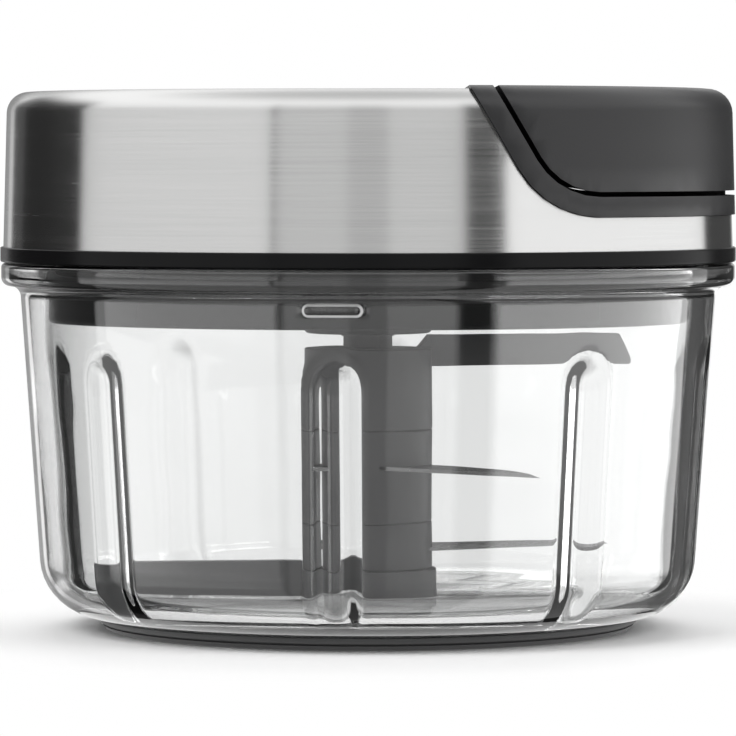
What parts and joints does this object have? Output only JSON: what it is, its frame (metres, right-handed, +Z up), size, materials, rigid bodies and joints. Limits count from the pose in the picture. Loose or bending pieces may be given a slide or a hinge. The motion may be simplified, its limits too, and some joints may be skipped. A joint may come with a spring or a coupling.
{
  "type": "manual pull cord food chopper",
  "caption": "Round hand food chopper: ribbed glass bowl, turning blade column with paddles, and a steel-capped lid whose docked handle pulls a rewinding cord to spin the blades.",
  "frame": {"origin": "on the table, under the centre of the round bowl", "axes": "+Z up along the axis of bowl, blades and reel; +X towards the docked handle, which pulls out along +X; -Y towards the viewer of the picture"},
  "size_m": [0.138, 0.138, 0.1012],
  "materials": {
    "clear_glass": "thick clear pressed glass",
    "soft_black": "matte silicone",
    "lid_plastic": "satin black moulding",
    "handle_plastic": "satin black moulding",
    "column_plastic": "dark grey moulding",
    "inner_plastic": "grey moulding",
    "pale_plastic": "plain pale moulding",
    "cap_steel": "fine brushing round the axis",
    "blade_steel": "ground and polished",
    "plain_steel": "turned and plated",
    "spring_steel": "blued strip",
    "bush_brass": "sintered bearing bronze",
    "cord": "braided nylon"
  },
  "bodies": {
    "bowl": {"bowl": "clear_glass", "foot_ring": "soft_black"},
    "lid": {"lid_base": "lid_plastic", "seal_ring": "soft_black", "steel_cap": "cap_steel", "handle_dock": "lid_plastic", "cord_eyelet": "plain_steel", "reel_frame": "inner_plastic", "axle_pin": "plain_steel", "axle_clip": "spring_steel", "thrust_washer": "pale_plastic", "spring_arbor": "plain_steel", "rewind_spring": "spring_steel", "drive_bush": "bush_brass", "base_screws": "plain_steel", "cord_run": "cord"},
    "handle": {"handle_shell": "handle_plastic", "handle_cover": "handle_plastic", "handle_screws": "plain_steel", "cord_knot": "cord", "knot_washer": "plain_steel"},
    "reel": {"reel": "pale_plastic", "pawl_carrier": "inner_plastic", "carrier_screws": "plain_steel", "pawl_pins": "plain_steel", "pawl_springs": "spring_steel", "cord_winding": "cord"},
    "pawl_a": {"pawl_a": "plain_steel"},
    "pawl_b": {"pawl_b": "plain_steel"},
    "drive": {"drive_cup": "column_plastic"},
    "blades": {"hub_core": "column_plastic", "lower_paddle": "column_plastic", "lower_carrier": "column_plastic", "lower_blade": "blade_steel", "upper_carrier": "column_plastic", "upper_blade": "blade_steel", "upper_paddle": "column_plastic"}
  },
  "joints": [
    {"name": "lid_lift", "type": "slide", "parent": "bowl", "child": "lid", "axis": [0, 0, 1], "range_m": [0, 0.1]},
    {"name": "handle_pull", "type": "slide", "parent": "lid", "child": "handle", "axis": [1, 0, 0], "range_m": [0, 0.2827], "stiffness_N_per_m": 8, "springref_m": -0.3, "deforming": ["cord_run", "cord_winding"]},
    {"name": "reel_spin", "type": "hinge", "parent": "lid", "child": "reel", "pos_m": [0, 0, 0.085], "axis": [0, 0, 1], "range_deg": [0, 1080], "deforming": ["rewind_spring"]},
    {"name": "drive_spin", "type": "hinge", "parent": "lid", "child": "drive", "pos_m": [0, 0, 0.06], "axis": [0, 0, 1], "range_deg": [0, 1080]},
    {"name": "blade_spin", "type": "hinge", "parent": "bowl", "child": "blades", "pos_m": [0, 0, 0.012], "axis": [0, 0, 1], "range_deg": [0, 1080]},
    {"name": "pawl_a_swing", "type": "hinge", "parent": "reel", "child": "pawl_a", "pos_m": [0.0043, -0.00745, 0.071], "axis": [0, 0, 1], "range_deg": [0, 12], "stiffness_Nm_per_rad": 0.004, "springref_deg": -8.59, "deforming": ["pawl_springs"]},
    {"name": "pawl_b_swing", "type": "hinge", "parent": "reel", "child": "pawl_b", "pos_m": [-0.0043, 0.00745, 0.071], "axis": [0, 0, 1], "range_deg": [0, 12], "stiffness_Nm_per_rad": 0.004, "springref_deg": -8.59, "deforming": ["pawl_springs"]}
  ],
  "couplings": [
    {"joint": "reel_spin", "follows": "handle_pull", "rad_per_m": 66.667},
    {"joint": "drive_spin", "follows": "handle_pull", "rad_per_m": 66.667},
    {"joint": "blade_spin", "follows": "handle_pull", "rad_per_m": 66.667}
  ]
}
